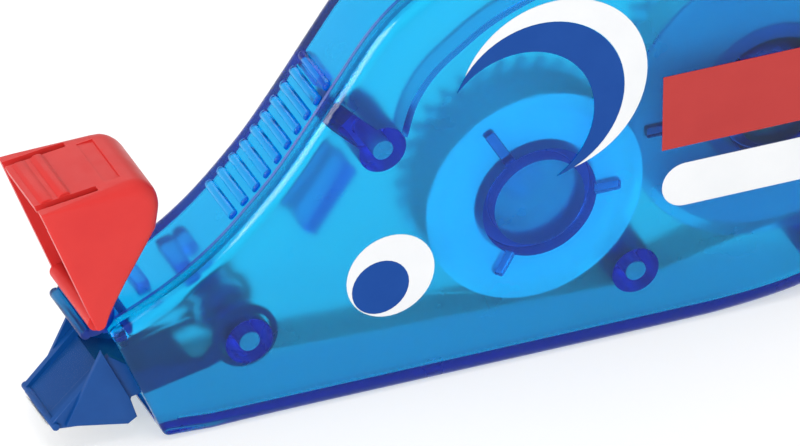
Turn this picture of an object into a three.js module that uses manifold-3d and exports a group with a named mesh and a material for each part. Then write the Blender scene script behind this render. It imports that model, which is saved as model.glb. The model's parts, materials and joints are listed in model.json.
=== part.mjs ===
// Pocket correction tape roller with its tip cap flipped open.
// Millimetres. +X runs from the tip to the tail, +Y from the near casing face to the far one, +Z up.
// The origin is the middle of the bottom of the object's bounding box.
// Positions below are given in the side view (X, Z), about 16 mm above the base near the front spool axle,
// and as depth from the near casing face (D).
import * as THREE from 'three';
import { mergeVertices } from 'three/addons/utils/BufferGeometryUtils.js';
import Module from 'manifold-3d';

const wasm = await Module();
wasm.setup();

// ---------- driving dimensions ----------
const THICK = 10.2;            // casing thickness
const WALL = 1.2;              // rim wall
const FACE = 1.0;              // near and far face thickness
const SEAM_D = 2.0;            // depth of the parting line
const SEAM_GAP = 0.06;
const EDGE_R = 1.3;            // rounding of the casing edges
const DECAL = 0.06;            // decal thickness
const DECAL_GAP = 0.02;

const FRONT_HUB = [0.4, -0.6];      // take-up spool axle
const REAR_HUB = [23.3, 4.0];       // supply spool axle
const MODULE = 0.6;
const SUPPLY_TEETH = 45;
const TAKEUP_TEETH = 33;
const RING_R = 5.4, RING_IN = 4.26, RING_END = 3.5;   // guide rings of the near shell
const AXLE_R = 2.0;

const POSTS = [[-26.9, -8.3], [-14.5, 8.4], [9.65, -9.95], [27.3, -11.75], [4.0, 21.5], [25.6, 21.3]];
const POST_RADII = [2.2, 2.2, 2.2, 1.75, 2.2, 2.2];
const POST_R = 2.2, POST_HOLE = 0.95, PIN_R = 0.88, POST_END = 7.7;

const HINGE = [-41.15, -2.8];  // cap hinge axis
const BARREL_R = 0.85;
const CAP_WALL = 0.85;

const TAPE_D = [3.0, 7.2];     // depth band of the 4.2 mm tape
const ROLL_R = 13.1, CORE_R = 7.0, FILM_R = 9.9, TAKE_CORE_R = 8.5;

// bounding box centre of the finished object, so that the origin sits under its middle
const SHIFT = [1.969, 0.04, 16.35];

// casing outline, walked from the bottom front corner along the bottom, round the tail and over the back
const BOTTOM = [[-34.95, -15.95], [-30.5, -16.35], [17.0, -16.35]];
const TAIL = [[17.0, -16.35], [21, -16.15], [25, -15.65], [29, -14.6], [33, -12.7], [36.6, -9.9], [39.6, -6.2],
  [41.7, -1.6], [42.6, 3.6], [42.2, 8.8], [40.5, 13.8], [37.4, 18.2], [33, 21.9], [27.6, 24.7], [21.5, 26.6],
  [15, 27.7], [8.3, 28.1], [2, 27.9], [-3.6, 26.9], [-8.4, 25.1], [-12.6, 22.5], [-15.4, 19.8], [-18.0, 16.2],
  [-20.6, 12.4], [-23.7, 8.1], [-26.3, 5.1], [-29.2, 2.2], [-32.2, -0.15], [-35.2, -1.95], [-38.0, -3.3]];
const FRONT = [[-38.0, -3.3], [-40.0, -4.1]];

// ---------- helpers ----------
const signedVolume = (g) => {
  const p = g.attributes.position, ix = g.index;
  const a = new THREE.Vector3(), b = new THREE.Vector3(), c = new THREE.Vector3();
  let v = 0;
  for (let i = 0; i < ix.count; i += 3) {
    a.fromBufferAttribute(p, ix.getX(i)); b.fromBufferAttribute(p, ix.getX(i + 1)); c.fromBufferAttribute(p, ix.getX(i + 2));
    v += a.dot(b.cross(c));
  }
  return v / 6;
};
// three.js geometry to a manifold solid
const solid = (geometry) => {
  const g0 = geometry.clone();
  for (const n of Object.keys(g0.attributes)) if (n !== 'position') g0.deleteAttribute(n);
  const g = mergeVertices(g0, 1e-5);
  const tri = Uint32Array.from(g.index.array);
  const keep = [];
  for (let i = 0; i < tri.length; i += 3) {
    if (tri[i] !== tri[i + 1] && tri[i + 1] !== tri[i + 2] && tri[i] !== tri[i + 2]) keep.push(tri[i], tri[i + 1], tri[i + 2]);
  }
  g.setIndex(keep);
  const flip = signedVolume(g) < 0;
  const t = Uint32Array.from(keep);
  if (flip) for (let i = 0; i < t.length; i += 3) { const k = t[i]; t[i] = t[i + 1]; t[i + 1] = k; }
  return new wasm.Manifold(new wasm.Mesh({ numProp: 3, vertProperties: Float32Array.from(g.attributes.position.array), triVerts: t }));
};
const join = (...parts) => parts.reduce((a, b) => a.add(b));
const cut = (a, ...parts) => parts.reduce((x, b) => x.subtract(b), a);

// outline (X, Z) extruded between two depths, with optional rounding of its edges
const prism = (pts, d0, d1, edge = 0, steps = 2) => {
  const s = new THREE.Shape(pts.map(([x, z]) => new THREE.Vector2(x, z)));
  const g = new THREE.ExtrudeGeometry(s, {
    depth: d1 - d0 - 2 * edge, steps: 1, curveSegments: 12, bevelEnabled: edge > 0,
    bevelThickness: edge, bevelSize: edge, bevelOffset: -edge, bevelSegments: steps,
  });
  g.translate(0, 0, edge);
  g.rotateX(Math.PI / 2);
  g.translate(0, d1 - THICK / 2, 0);
  return solid(g);
};
const circle = ([cx, cz], r, n = 32, a0 = 0) => Array.from({ length: n }, (_, i) => {
  const a = a0 + (i / n) * 2 * Math.PI;
  return [cx + r * Math.cos(a), cz + r * Math.sin(a)];
});
const disc = (c, r, d0, d1, n = 32, a0 = 0) => prism(circle(c, r, n, a0), d0, d1);
const tube = (c, r, rin, d0, d1, n = 32) => {
  const prof = [[rin, d0], [r, d0], [r, d1], [rin, d1], [rin, d0]].map(([a, b]) => new THREE.Vector2(a, b - THICK / 2));
  const g = new THREE.LatheGeometry(prof, n);
  g.translate(c[0], 0, c[1]);
  return solid(g);
};
const lathe = (c, profile, n = 32) => {
  const g = new THREE.LatheGeometry(profile.map(([a, b]) => new THREE.Vector2(a, b - THICK / 2)), n);
  g.translate(c[0], 0, c[1]);
  return solid(g);
};
// a flat bar between two points of the side view
const bar = (p, q, w, d0, d1) => {
  const L = Math.hypot(q[0] - p[0], q[1] - p[1]);
  const nx = -(q[1] - p[1]) / L * w / 2, nz = (q[0] - p[0]) / L * w / 2;
  return prism([[p[0] - nx, p[1] - nz], [q[0] - nx, q[1] - nz], [q[0] + nx, q[1] + nz], [p[0] + nx, p[1] + nz]], d0, d1);
};
// inset of a closed outline, with mitred corners; positive d goes inwards for an anticlockwise outline
const inset = (pts, d) => pts.map((p, i) => {
  const a = pts[(i + pts.length - 1) % pts.length], b = pts[(i + 1) % pts.length];
  const u = new THREE.Vector2(p[0] - a[0], p[1] - a[1]).normalize();
  const v = new THREE.Vector2(b[0] - p[0], b[1] - p[1]).normalize();
  const n1 = new THREE.Vector2(-u.y, u.x), n2 = new THREE.Vector2(-v.y, v.x);
  const m = n1.clone().add(n2).normalize();
  const k = d / Math.max(0.35, m.dot(n1));
  return [p[0] + m.x * k, p[1] + m.y * k];
});
const spline = (pts, n) => new THREE.SplineCurve(pts.map(([x, z]) => new THREE.Vector2(x, z))).getSpacedPoints(n).map((v) => [v.x, v.y]);
// band of a given thickness along a line
const band = (pts, t) => {
  const L = [], R = [];
  pts.forEach((p, i) => {
    const a = pts[Math.max(0, i - 1)], b = pts[Math.min(pts.length - 1, i + 1)];
    const l = Math.hypot(b[0] - a[0], b[1] - a[1]);
    const nx = -(b[1] - a[1]) / l * t / 2, nz = (b[0] - a[0]) / l * t / 2;
    L.push([p[0] + nx, p[1] + nz]); R.push([p[0] - nx, p[1] - nz]);
  });
  return [...R, ...L.reverse()];
};
const polar = ([cx, cz], r, deg) => [cx + r * Math.cos(deg * Math.PI / 180), cz + r * Math.sin(deg * Math.PI / 180)];
const rotated = ([x, z], [cx, cz], deg) => {
  const a = deg * Math.PI / 180, dx = x - cx, dz = z - cz;
  return [cx + dx * Math.cos(a) - dz * Math.sin(a), cz + dx * Math.sin(a) + dz * Math.cos(a)];
};

const group = new THREE.Group();
const emit = (name, body, color, roughness = 0.4, opacity = 1) => {
  const m = body.getMesh();
  const g = new THREE.BufferGeometry();
  g.setAttribute('position', new THREE.BufferAttribute(Float32Array.from(m.vertProperties), 3));
  g.setIndex(new THREE.BufferAttribute(Uint32Array.from(m.triVerts), 1));
  g.computeVertexNormals();
  const mesh = new THREE.Mesh(g, new THREE.MeshStandardMaterial({ color, roughness, metalness: 0, transparent: opacity < 1, opacity }));
  mesh.name = name;
  group.add(mesh);
};

// ---------- casing ----------
const outline = [...BOTTOM.slice(0, -1), ...spline(TAIL, 74), ...FRONT.slice(1)];
const inner = inset(outline, WALL);
// the cavity runs out through the leaning front face, leaving the mouth open
const mouth = [[-33.6, -14.75], [-37.2, -14.75], [-41.9, -5.35], [-38.6, -5.35], [-33.0, -3.2]];
const full = prism(outline, 0, THICK, EDGE_R, 3);
const nearBlank = full.intersect(prism([[-60, -40], [60, -40], [60, 40], [-60, 40]], -1, SEAM_D - SEAM_GAP / 2));
const farBlank = full.intersect(prism([[-60, -40], [60, -40], [60, 40], [-60, 40]], SEAM_D + SEAM_GAP / 2, THICK + 1));
const cavity = join(prism(inner, FACE, THICK - FACE), prism(mouth, FACE, THICK - FACE));

// near shell: guide rings with spokes, post tubes, the web above the upper post and the wall round the spool chamber
const INNER_WALL = [[-12.5, 9.2], [-11.6, 12.3], [-9.9, 14.9], [-7.4, 17.0], [-4.0, 19.2], [0.5, 20.9], [5.5, 21.9], [11.5, 22.2], [17.5, 22.0]];
const ringSpokes = (c, angles, len, depth) => angles.map((a) => bar(polar(c, RING_R - 0.4, a), polar(c, len, a), 0.98, FACE - 0.2, depth));
let nearShell = cut(nearBlank, cavity);
nearShell = join(nearShell,
  tube(FRONT_HUB, RING_R, RING_IN, FACE - 0.2, RING_END, 40),
  tube(REAR_HUB, RING_R, RING_IN, FACE - 0.2, RING_END, 40),
  ...ringSpokes(FRONT_HUB, [0, 240], 7.7, 1.8),
  ...ringSpokes(FRONT_HUB, [121], 9.4, 1.8),
  ...ringSpokes(REAR_HUB, [60, 300], 7.7, 1.8),
  ...ringSpokes(REAR_HUB, [180], 12.8, 1.8),
  ...POSTS.map((p, i) => tube(p, POST_RADII[i], POST_HOLE, FACE - 0.2, POST_END, 20)),
  bar(POSTS[1], [-19.0, 12.9], 2.3, FACE - 0.2, 1.9),
  bar(POSTS[1], [-17.7, 11.6], 2.0, FACE - 0.2, 7.0),
  prism(band(spline(INNER_WALL, 26), 0.7), FACE - 0.2, 3.2));
// clear the post bores, and make room for the end of the hinge cradle
nearShell = cut(nearShell, ...POSTS.map((p) => disc(p, POST_HOLE, FACE, POST_END + 0.2, 20)), disc(HINGE, 2.3, FACE, 3, 28));

// far shell: rim, axles, pins, grip ribs, inner clips and the hinge cradle
const gripRibs = [];
const GRIP_FROM = [-27.7, 3.75], GRIP_TO = [-18.95, 14.85], GRIP_COUNT = 10;
const gripLine = spline(TAIL, 600);
const nearest = ([x, z]) => gripLine.reduce((best, p, i) => {
  const d = Math.hypot(p[0] - x, p[1] - z);
  return d < best[0] ? [d, i] : best;
}, [1e9, 0])[1];
const i0 = nearest(GRIP_TO), i1 = nearest(GRIP_FROM);
for (let k = 0; k < GRIP_COUNT; k++) {
  const p = gripLine[Math.round(i0 + (i1 - i0) * k / (GRIP_COUNT - 1))];
  gripRibs.push(disc(p, 0.48, 2.35, 8.2, 8, Math.PI / 8));
}
const cradle = (() => {
  const pts = [];
  for (let a = 250; a <= 416; a += 16.6) pts.push(polar(HINGE, 1.95, a));
  for (let a = 416; a >= 250; a -= 16.6) pts.push(polar(HINGE, 1.15, a));
  return prism(pts, 1.35, 8.85);
})();
const lip = disc([-41.85, -4.45], 0.5, 1.35, 8.85, 12);
const neck = prism([[-40.3, -4.2], [-39.9, -5.3], [-37.6, -5.35], [-37.2, -4.3], [-38.3, -3.9], [-39.5, -4.0]], SEAM_D + 0.3, 8.85);
let farShell = cut(farBlank, cavity);
farShell = join(farShell, ...gripRibs, cradle, lip, neck,
  disc(FRONT_HUB, AXLE_R, 4.9, THICK - FACE + 0.2, 28),
  disc(REAR_HUB, AXLE_R, 1.6, THICK - FACE + 0.2, 28),
  ...POSTS.map((p) => disc(p, PIN_R, 4.6, THICK - FACE + 0.2, 16)),
  ...POSTS.map((p) => tube(p, 1.6, 0.5, POST_END + 0.35, THICK - FACE + 0.2, 16)),
  bar([-18.7, 14.0], [-17.2, 13.0], 1.4, 5.0, THICK - FACE + 0.2),
  bar([-19.6, -1.4], [-15.6, 4.3], 1.5, 5.0, THICK - FACE + 0.2),
  bar([-31.3, -1.9], [-30.9, -3.3], 1.5, 4.6, THICK - FACE + 0.2),
  disc([-29.7, -1.9], 0.75, 6.2, THICK - FACE + 0.2, 16),
  bar([-34.9, -3.3], [-34.6, -4.6], 1.3, 5.0, THICK - FACE + 0.2));

// ---------- gears and spools ----------
// straight-flanked teeth, thinned for backlash
const gearOutline = (c, teeth, a0) => {
  const rp = MODULE * teeth / 2, ra = rp + 0.9 * MODULE, rf = rp - 1.05 * MODULE, p = 2 * Math.PI / teeth;
  const pts = [];
  for (let i = 0; i < teeth; i++) {
    const a = a0 + i * p;
    for (const [k, r] of [[-0.29, rf], [-0.2, rp], [-0.085, ra], [0.085, ra], [0.2, rp], [0.29, rf]]) pts.push([c[0] + r * Math.cos(a + k * p), c[1] + r * Math.sin(a + k * p)]);
  }
  return pts;
};
const centreAngle = Math.atan2(REAR_HUB[1] - FRONT_HUB[1], REAR_HUB[0] - FRONT_HUB[0]);
const GEAR_D = [7.55, 8.75];
const supplyGear = cut(join(
  prism(gearOutline(REAR_HUB, SUPPLY_TEETH, centreAngle + Math.PI), ...GEAR_D),
  disc(REAR_HUB, 3.4, 3.9, GEAR_D[0] + 0.2, 28)),
  disc(REAR_HUB, AXLE_R + 0.25, 3, 9.5, 28),
  ...[30, 90, 150, 210, 270, 330].map((a) => disc(polar(REAR_HUB, 9.4, a), 1.9, 7, 9.5, 16)));
const takeupGear = cut(join(
  prism(gearOutline(FRONT_HUB, TAKEUP_TEETH, centreAngle + Math.PI / TAKEUP_TEETH), ...GEAR_D),
  disc(FRONT_HUB, 3.6, 4.9, GEAR_D[0] + 0.2, 28)),
  disc(FRONT_HUB, AXLE_R + 0.25, 4, 9.5, 28));
// sprung ring: three long fingers bear on the inside of the supply core
const clutch = (() => {
  const body = tube(REAR_HUB, 4.55, 3.7, 4.1, 6.9, 28);
  const fingers = [0, 120, 240].map((a) => {
    const pts = [];
    for (let k = 0; k <= 6; k++) pts.push(polar(REAR_HUB, 4.3 + 1.15 * k / 6, a + 12 * k));
    return prism(band(pts, 0.55), 4.1, 6.9);
  });
  return join(body, ...fingers);
})();
const supplyCore = join(tube(REAR_HUB, CORE_R, 6.1, 2.95, 7.25, 40), tube(REAR_HUB, 6.5, 5.75, 2.95, 3.8, 40));
const supplyFlange = tube(REAR_HUB, 14.1, 5.9, 2.5, 2.85, 48);
const tapeRoll = tube(REAR_HUB, ROLL_R, CORE_R + 0.15, TAPE_D[0], TAPE_D[1], 48);
const takeupCore = cut(join(
  tube(FRONT_HUB, TAKE_CORE_R, 7.5, 2.4, 7.25, 40),
  disc(FRONT_HUB, 7.8, 4.1, 4.7, 40),
  tube(FRONT_HUB, 4.6, 3.85, 4.4, 7.25, 28)));
const takeupFlange = lathe(FRONT_HUB, [[5.75, 2.02], [7.7, 2.02], [7.9, 1.92], [10.2, 1.92], [10.2, 2.26], [8.1, 2.26], [7.9, 2.36], [5.75, 2.36], [5.75, 2.02]], 44);
const filmRoll = tube(FRONT_HUB, FILM_R, TAKE_CORE_R + 0.15, TAPE_D[0], TAPE_D[1], 44);

// ---------- applicator tip ----------
const TIP_HALF = 3.75, MID = THICK / 2;
const sideWall = [[-43.95, -12.0], [-44.9, -13.0], [-44.7, -13.7], [-43.7, -13.8], [-38.2, -14.3], [-37.5, -12.1], [-30.2, -10.6], [-30.2, -9.75], [-37.0, -9.3], [-39.6, -7.4]];
const padTri = [[-40.45, -6.5], [-43.75, -13.45], [-37.95, -14.6], [-37.1, -14.05], [-37.75, -12.0]];
const mirrored = (pts, d0, d1) => [prism(pts, d0, d1), prism(pts, THICK - d1, THICK - d0)];
const eyeRing = (d0, d1) => tube(POSTS[0], 3.2, POST_R + 0.25, d0, d1, 24);
const applicator = join(
  ...mirrored(sideWall, MID - TIP_HALF + 0.35, MID - TIP_HALF + 0.95),
  ...mirrored(padTri, MID - TIP_HALF, MID - TIP_HALF + 0.36),
  ...mirrored([[-30.9, -9.7], [-30.9, -10.75], [-29.3, -10.25], [-29.9, -8.6]], MID - TIP_HALF + 0.35, MID - TIP_HALF + 0.95),
  eyeRing(MID - TIP_HALF + 0.35, MID - TIP_HALF + 0.95), eyeRing(MID + TIP_HALF - 0.95, MID + TIP_HALF - 0.35),
  // blade between the walls, thinning to the nib edge
  prism([[-44.85, -13.3], [-44.3, -12.9], [-40.1, -8.9], [-37.2, -9.95], [-31.6, -10.0], [-31.6, -10.45], [-37.4, -11.35], [-40.6, -11.6], [-44.5, -13.65]], MID - TIP_HALF + 0.6, MID + TIP_HALF - 0.6),
  // nib edge bar with its end tabs
  prism(circle([-44.65, -13.35], 0.36, 12), MID - TIP_HALF + 0.05, MID + TIP_HALF - 0.05));

// ---------- tape ----------
// outer tangent from one circle to the next, both wrapped on the given side (+1 left of travel)
const tangent = (c1, r1, c2, r2, side) => {
  const dx = c2[0] - c1[0], dz = c2[1] - c1[1], L = Math.hypot(dx, dz), base = Math.atan2(dz, dx);
  const b = Math.acos((r1 - r2) / L) * side;
  return [polar(c1, r1, (base + b) * 180 / Math.PI), polar(c2, r2, (base + b) * 180 / Math.PI)];
};
const TAPE_T = 0.12;
const arc = (c, r, a0, a1, n) => Array.from({ length: n + 1 }, (_, i) => polar(c, r, a0 + (a1 - a0) * i / n));
const ang = (c, p) => Math.atan2(p[1] - c[1], p[0] - c[0]) * 180 / Math.PI;
const guide = POSTS[2], g0r = POST_R + 0.2;
const [t0, t1] = tangent(REAR_HUB, ROLL_R + 0.2, guide, g0r, 1);
const nibLow = [-44.25, -14.12];
const tapeLine = [t0, t1];
{
  const end = Math.atan2(-1, -0.04) * 180 / Math.PI;
  for (const p of arc(guide, g0r, ang(guide, t1), end, 4).slice(1)) tapeLine.push(p);
  tapeLine.push([-26.5, -10.95], [-31.5, -11.25], nibLow, [-44.85, -13.95], [-45.2, -13.45]);
}
const tapeRun = prism(band(tapeLine, TAPE_T), TAPE_D[0], TAPE_D[1]);
const [f0] = tangent(FRONT_HUB, FILM_R + 0.2, [-27.3, -5.0], 0.01, 1).map((p) => [p[0], p[1]]);
const filmEnd = (() => { // lower tangent point on the take-up roll, seen from the guide point
  const c = FRONT_HUB, p = [-27.3, -5.05], r = FILM_R + 0.2, L = Math.hypot(p[0] - c[0], p[1] - c[1]);
  const base = Math.atan2(p[1] - c[1], p[0] - c[0]), b = Math.acos(r / L);
  return polar(c, r, (base + b) * 180 / Math.PI);
})();
const filmLine = [[-45.25, -13.05], [-44.85, -12.7], [-44.4, -12.45], [-40.05, -8.3], [-37.2, -7.1], [-30.2, -5.4], [-28.6, -5.15], [-27.3, -5.05], filmEnd];
const filmRun = prism(band(filmLine, TAPE_T), TAPE_D[0], TAPE_D[1]);

// ---------- tip cap, at rest flipped fully open ----------
const CAP_A = [-46.55, 9.75], CAP_TOP = [-38.3, 10.8], CAP_REAR = [-35.35, 7.3];
const capOuter = [
  [-41.55, -2.9], CAP_A, CAP_TOP, [-37.3, 10.75], [-36.4, 10.25], [-35.7, 9.4], [-35.35, 8.3], CAP_REAR, [-35.6, 5.6],
  [-38.55, 0.75], [-40.35, -2.55], [-40.55, -3.15], [-40.95, -3.4], [-41.35, -3.35]];
const sweep = [...capOuter].reverse();
const area = (pts) => pts.reduce((s, p, i) => { const q = pts[(i + 1) % pts.length]; return s + p[0] * q[1] - q[0] * p[1]; }, 0) / 2;
const capPts = area(capOuter) > 0 ? capOuter : sweep;
const capShell = (() => {
  const outer = join(prism(capPts, 0.25, THICK - 0.25), prism(inset(capPts, 0.22), 0, THICK));
  // hollow: everything inside the top and rear walls, open along the edge that meets the casing
  const hollow = prism([[-60, 8.75], [-46.9, 8.75], [-46.2, 8.93], [-38.4, 9.92], [-37.7, 9.85], [-37.0, 9.4], [-36.45, 8.6], [-36.25, 7.9], [-36.3, 7.2], [-36.55, 5.95], [-39.35, 1.25], [-41.05, -1.65], [-41.05, -6], [-60, -6]], CAP_WALL, THICK - CAP_WALL);
  // room for the hinge cradle
  const room = disc(HINGE, 2.3, CAP_WALL, THICK - CAP_WALL, 28);
  let c = cut(outer, hollow, room);
  c = join(c, disc(HINGE, BARREL_R, CAP_WALL - 0.2, THICK - CAP_WALL + 0.2, 20));
  // slots on both sides of the tongue
  for (const d of [[0.95, 1.7], [THICK - 1.7, THICK - 0.95]]) c = cut(c, prism([[-48, 8.0], [-41.0, 9.2], [-40.7, 10.0], [-41.2, 11.4], [-48, 11.4]], d[0], d[1]));
  // step ridges near the opening edge and the recessed panel near the rear
  const top = (x, up) => [x, 9.75 + (x - CAP_A[0]) * (CAP_TOP[1] - CAP_A[1]) / (CAP_TOP[0] - CAP_A[0]) + up];
  const ridge = (x0, x1, h) => prism([top(x0, -0.2), top(x1, -0.2), top(x1, h * 0.2), top(x1 - 0.35, h), top(x0 + 0.35, h), top(x0, h * 0.2)].reverse(), 1.8, THICK - 1.8);
  c = join(c, ridge(-46.0, -44.75, 0.16), ridge(-44.3, -43.1, 0.3));
  c = cut(c, prism([top(-40.0, -0.06), top(-38.55, -0.16), top(-38.3, 0.8), top(-40.0, 0.8)], 1.9, THICK - 1.9));
  return c;
})();

// ---------- decals on the near face ----------
const decal = (pts) => prism(pts, -DECAL_GAP - DECAL, -DECAL_GAP);
const ellipse = ([cx, cz], a, b, deg, n) => Array.from({ length: n }, (_, i) => {
  const t = (i / n) * 2 * Math.PI;
  return rotated([cx + a * Math.cos(t), cz + b * Math.sin(t)], [cx, cz], deg);
});
const EYE = [-13.96, -4.26], EYE_R = 4.14, PUPIL = [-14.9, -5.25], PUPIL_R = 2.68;
const eyeDecal = cut(decal(circle(EYE, EYE_R, 40)), prism(circle(PUPIL, PUPIL_R + 0.02, 32), -1, 1));
const pupilDecal = decal(circle(PUPIL, PUPIL_R, 32));
const redLabel = decal([[11.65, 2.4], [33.0, 2.4], [33.0, 9.95], [11.65, 9.95]]);
const whiteLabel = decal([...arc([13.9, -1.56], 2.18, 90, 270, 16), ...arc([29.6, -1.56], 2.18, -90, 90, 16)]);
// a plain double crescent: each band is one circle less another, moved along a common axis
const ARC_C = [1.2, 11.4], ARC_R = 8.9, ARC_AXIS = [-0.75, -0.6614];
const MID_R = 8.2, MID_SHIFT = 1.9, INNER_R = 7.3, INNER_SHIFT = 4.5;
const along = (d) => [ARC_C[0] + ARC_AXIS[0] * d, ARC_C[1] + ARC_AXIS[1] * d];
const earDecal = cut(decal(circle(ARC_C, ARC_R, 72)), prism(circle(along(MID_SHIFT), MID_R, 72), -1, 1));
const earFill = cut(decal(circle(along(MID_SHIFT), MID_R - 0.05, 72)), prism(circle(along(INNER_SHIFT), INNER_R, 72), -1, 1));

// ---------- assembly ----------
emit('near_shell', nearShell, 0x2a9be0, 0.25, 0.6);
emit('far_shell', farShell, 0x2389cf, 0.25, 0.7);
emit('applicator_tip', applicator, 0x1d5fb2, 0.3, 0.9);
emit('tip_cap', capShell, 0xe5483f, 0.35);
emit('supply_gear', supplyGear, 0x1f5fae, 0.4);
emit('clutch_ring', clutch, 0xe8e8e4, 0.5);
emit('supply_core', supplyCore, 0x2f66b8, 0.4);
emit('supply_flange', supplyFlange, 0x1372bc, 0.3, 0.7);
emit('tape_roll', tapeRoll, 0xf6f7f5, 0.7);
emit('takeup_gear', takeupGear, 0x2a6fc0, 0.4);
emit('takeup_core', takeupCore, 0x9fc8e8, 0.35);
emit('takeup_flange', takeupFlange, 0x8cc6ee, 0.3, 0.6);
emit('film_roll', filmRoll, 0xcfe4f2, 0.4, 0.8);
emit('tape_run', tapeRun, 0xf6f7f5, 0.7);
emit('film_run', filmRun, 0xdceaf4, 0.3, 0.6);
emit('red_label', redLabel, 0xbe4441, 0.45);
emit('white_label', whiteLabel, 0xf5f6f7, 0.45);
emit('eye_decal', eyeDecal, 0xf8f8f8, 0.45);
emit('pupil_decal', pupilDecal, 0x2459a5, 0.45);
emit('ear_decal', earDecal, 0xf8f8f8, 0.45);
emit('ear_fill_decal', earFill, 0x2455a0, 0.45);

group.position.set(...SHIFT);
group.updateMatrixWorld(true);
export default group;
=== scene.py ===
import bmesh
import bpy
import json
import math
import numpy as np
from mathutils import Matrix, Vector

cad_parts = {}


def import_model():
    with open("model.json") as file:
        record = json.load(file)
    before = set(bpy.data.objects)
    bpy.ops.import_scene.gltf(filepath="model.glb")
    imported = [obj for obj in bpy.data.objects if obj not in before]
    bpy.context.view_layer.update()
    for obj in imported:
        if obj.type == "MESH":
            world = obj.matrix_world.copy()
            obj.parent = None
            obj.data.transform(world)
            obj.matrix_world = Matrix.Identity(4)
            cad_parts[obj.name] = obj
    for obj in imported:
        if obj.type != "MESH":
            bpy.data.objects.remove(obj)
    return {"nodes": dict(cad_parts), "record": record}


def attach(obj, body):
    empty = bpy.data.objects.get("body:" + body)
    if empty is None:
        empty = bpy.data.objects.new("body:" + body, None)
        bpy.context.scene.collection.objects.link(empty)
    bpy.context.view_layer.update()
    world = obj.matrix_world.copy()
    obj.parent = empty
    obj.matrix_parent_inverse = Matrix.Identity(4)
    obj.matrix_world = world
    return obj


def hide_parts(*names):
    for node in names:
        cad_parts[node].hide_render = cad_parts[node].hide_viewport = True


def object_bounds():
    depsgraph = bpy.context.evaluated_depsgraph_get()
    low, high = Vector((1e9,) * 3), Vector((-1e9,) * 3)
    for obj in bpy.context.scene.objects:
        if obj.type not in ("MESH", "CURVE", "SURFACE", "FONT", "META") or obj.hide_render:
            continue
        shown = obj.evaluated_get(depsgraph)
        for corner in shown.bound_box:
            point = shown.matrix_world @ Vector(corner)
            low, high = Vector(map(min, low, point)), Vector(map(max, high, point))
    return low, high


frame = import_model()
cad_lo, cad_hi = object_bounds()
nodes = frame["nodes"]
scene = bpy.context.scene

# ------------------------------------------------------------------ frame helpers
# Side view millimetres (X, Z) and depth D from the near casing face, as the CAD states them.
SHIFT = (1.969, 0.04, 16.35)
THICK = 10.2


def world(x, d, z):
    return ((x + SHIFT[0]) / 1000.0, (d - THICK / 2 + SHIFT[1]) / 1000.0, (z + SHIFT[2]) / 1000.0)


# ------------------------------------------------------------------ camera
RIGHT = Vector((0.921, -0.389, 0.0084)).normalized()
UP0 = Vector((0.208, 0.502, 0.839)).normalized()
BACK = RIGHT.cross(UP0).normalized()
UP = BACK.cross(RIGHT).normalized()
hub = Vector(world(0, 0, 0))
target = hub - RIGHT * 0.01205 + UP * (-0.001913)
cam_data = bpy.data.cameras.new("camera")
cam_data.sensor_width = 36.0
cam_data.lens = 465.75 * 1.5 / 0.9
cam_data.clip_start = 0.05
cam_data.clip_end = 20.0
camera = bpy.data.objects.new("camera", cam_data)
scene.collection.objects.link(camera)
camera.matrix_world = Matrix((
    (RIGHT.x, UP.x, BACK.x, target.x + BACK.x * 1.5),
    (RIGHT.y, UP.y, BACK.y, target.y + BACK.y * 1.5),
    (RIGHT.z, UP.z, BACK.z, target.z + BACK.z * 1.5),
    (0, 0, 0, 1)))
scene.camera = camera


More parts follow.
